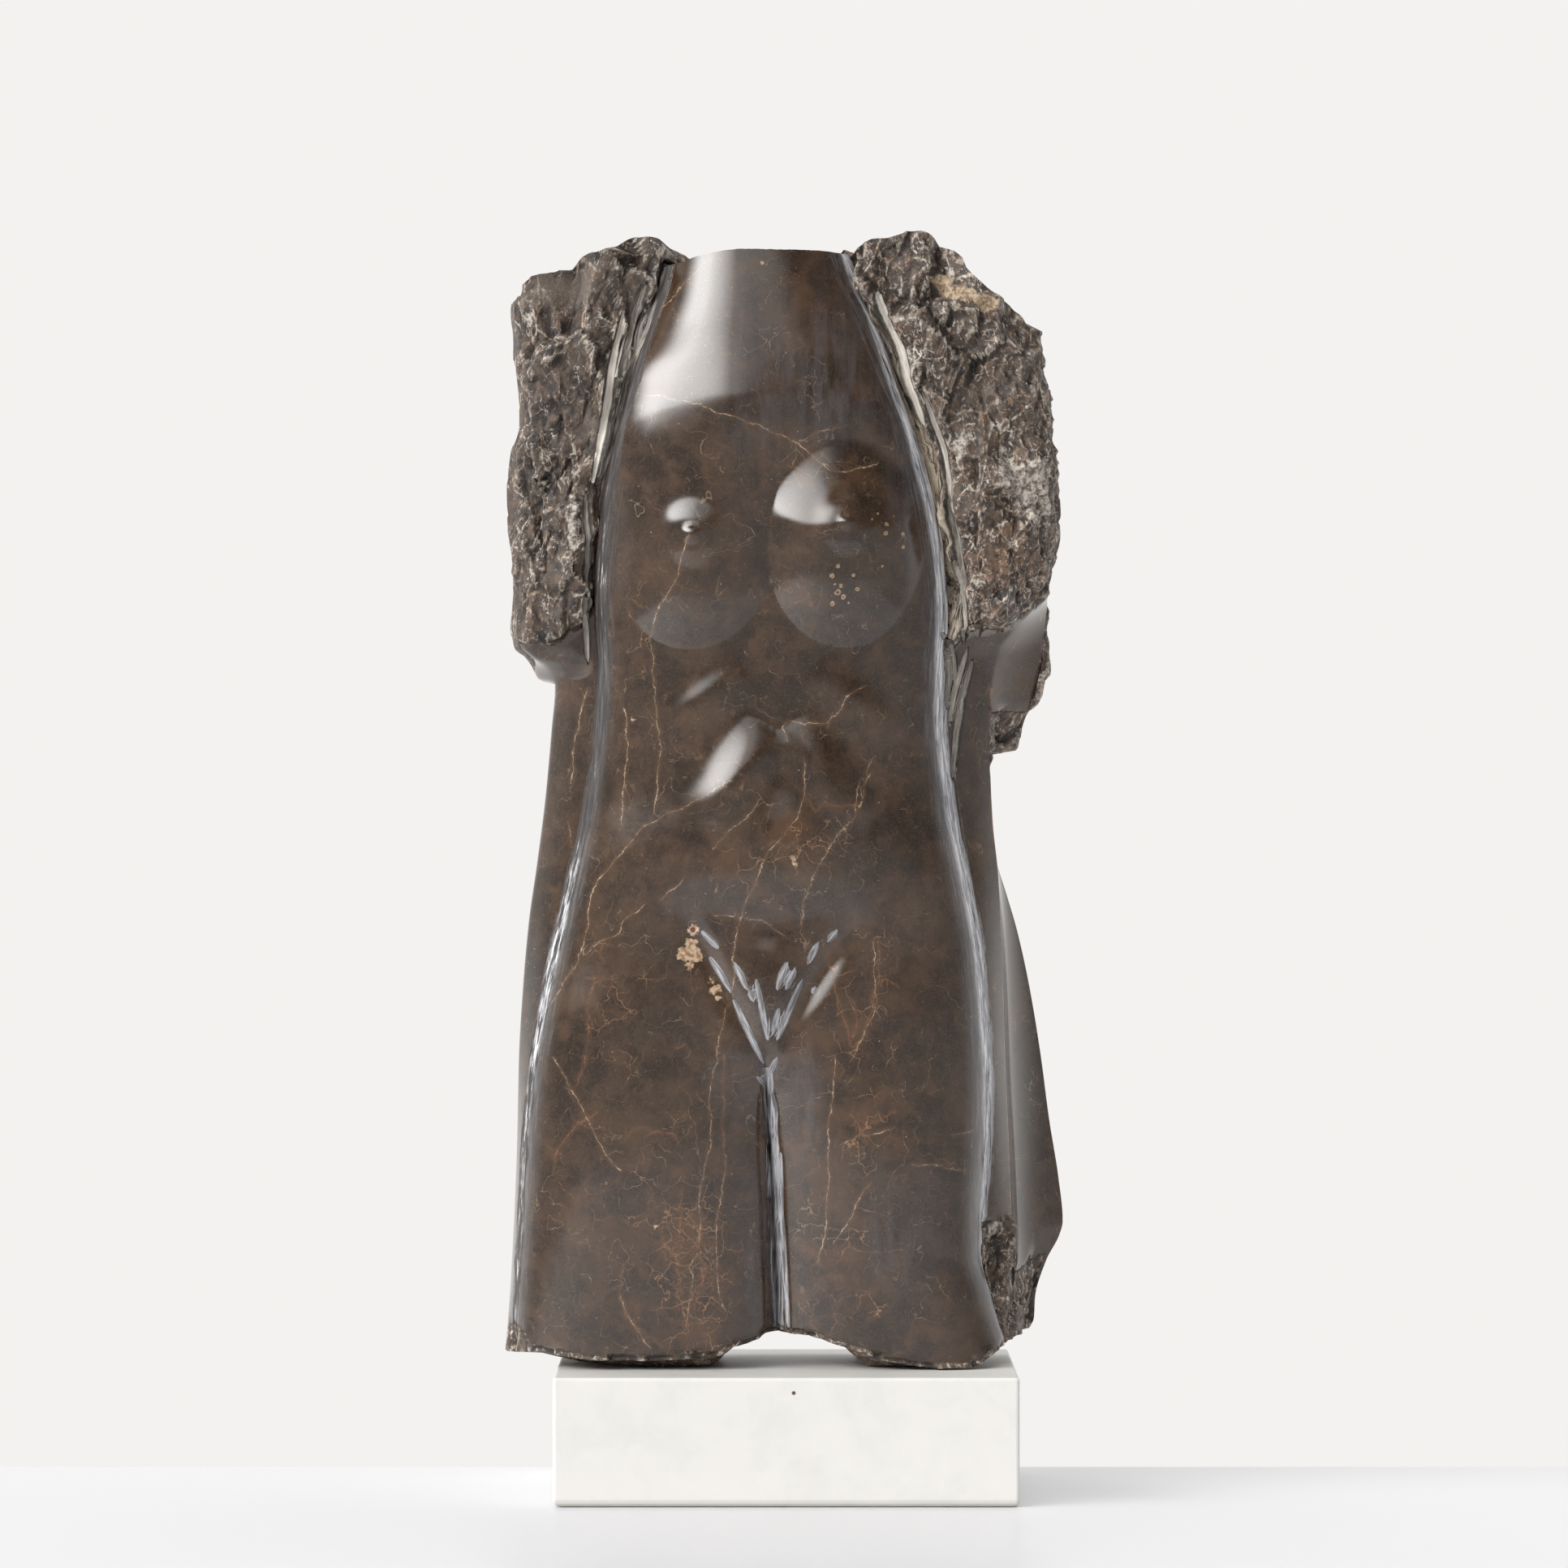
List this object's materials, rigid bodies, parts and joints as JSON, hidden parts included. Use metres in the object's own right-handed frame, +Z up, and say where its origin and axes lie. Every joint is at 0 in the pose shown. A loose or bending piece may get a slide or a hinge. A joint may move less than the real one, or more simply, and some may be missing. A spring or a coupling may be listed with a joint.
{
  "type": "torso sculpture",
  "caption": "Polished female torso carved in relief from a rough, broken block of dark limestone, standing on a low rectangular marble plinth.",
  "frame": {"origin": "centre of the plinth's underside", "axes": "+Z up, -Y the way the body faces, +X to the right of a viewer who faces the body"},
  "size_m": [0.2662, 0.1517, 0.5948],
  "materials": {
    "dark_limestone": "gloss",
    "white_marble": "satin"
  },
  "bodies": {
    "root": {"torso": "dark_limestone", "plinth": "white_marble"}
  },
  "joints": []
}
